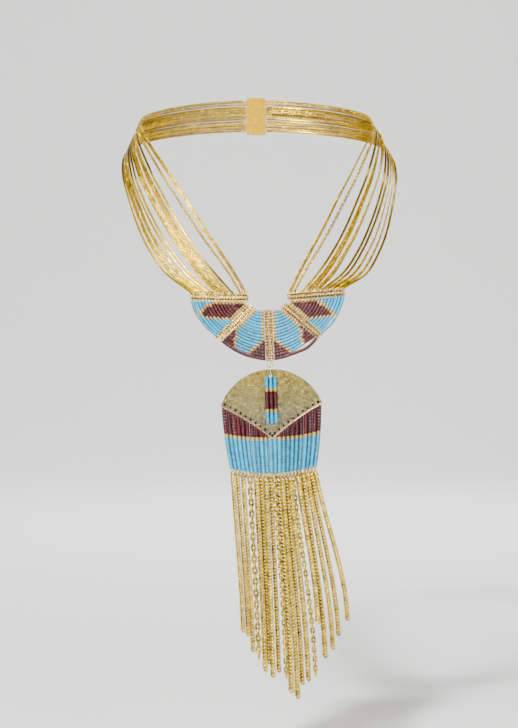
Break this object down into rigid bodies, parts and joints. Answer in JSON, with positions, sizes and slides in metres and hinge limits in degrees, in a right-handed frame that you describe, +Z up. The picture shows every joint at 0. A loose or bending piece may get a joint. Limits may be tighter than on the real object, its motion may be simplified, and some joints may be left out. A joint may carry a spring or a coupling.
{
  "type": "bib necklace",
  "caption": "Bib necklace: many fine chains to a fan of beaded panels between link bars, with a hammered half-moon pendant, bead curtain and chain fringe hanging from two rings",
  "frame": {"origin": "middle of the clasp's inner face, where the loop lies on the nape", "axes": "+Z up along the hanging necklace, the front faces -Y and the nape side is +Y, +X to the right as seen from the front"},
  "size_m": [0.1529, 0.143, 0.3277],
  "materials": {
    "gold_chain": "polished yellow gold plating on brass links",
    "pale_gold_links": "pale rose-gold plated curb links, sewn between the bead panels",
    "fringe_chain": "pale gold plated fine chains",
    "ring_wire": "bright pale gold plated round wire",
    "hammered_brass": "pale brass sheet, finely hammered, satin",
    "turquoise_beads": "opaque turquoise glass seed beads",
    "maroon_beads": "lustred maroon glass seed beads"
  },
  "bodies": {
    "root": {"clasp": "gold_chain", "neck_chain_left_01": "gold_chain", "neck_chain_left_02": "gold_chain", "neck_chain_left_03": "gold_chain", "neck_chain_left_04": "gold_chain", "neck_chain_left_05": "gold_chain", "neck_chain_left_06": "gold_chain", "neck_chain_left_07": "gold_chain", "neck_chain_left_08": "gold_chain", "neck_chain_left_09": "gold_chain", "neck_chain_left_10": "gold_chain", "neck_chain_right_01": "gold_chain", "neck_chain_right_02": "gold_chain", "neck_chain_right_03": "gold_chain", "neck_chain_right_04": "gold_chain", "neck_chain_right_05": "gold_chain", "neck_chain_right_06": "gold_chain", "neck_chain_right_07": "gold_chain", "neck_chain_right_08": "gold_chain", "neck_chain_right_09": "gold_chain", "neck_chain_right_10": "gold_chain", "bar_left_end": "pale_gold_links", "bar_left": "pale_gold_links", "bar_centre": "pale_gold_links", "bar_right": "pale_gold_links", "bar_right_end": "pale_gold_links", "bead_panel_1": "turquoise_beads", "bead_panel_2": "maroon_beads", "bead_panel_3": "maroon_beads", "bead_panel_4": "turquoise_beads"},
    "link": {"bib_ring": "ring_wire"},
    "pendant": {"pendant_ring": "ring_wire", "pendant_plate": "hammered_brass", "plate_beads": "maroon_beads", "bead_curtain": "turquoise_beads", "fringe": "fringe_chain"}
  },
  "joints": [
    {"name": "ring_swing", "type": "hinge", "parent": "root", "child": "link", "pos_m": [0.00729, -0.13698, -0.14978], "axis": [0, 1, 0], "range_deg": [-25, 25]},
    {"name": "pendant_swing", "type": "hinge", "parent": "link", "child": "pendant", "pos_m": [0.00735, -0.13698, -0.15178], "axis": [0.9995, 0, 0.0314], "range_deg": [-50, 30]}
  ]
}
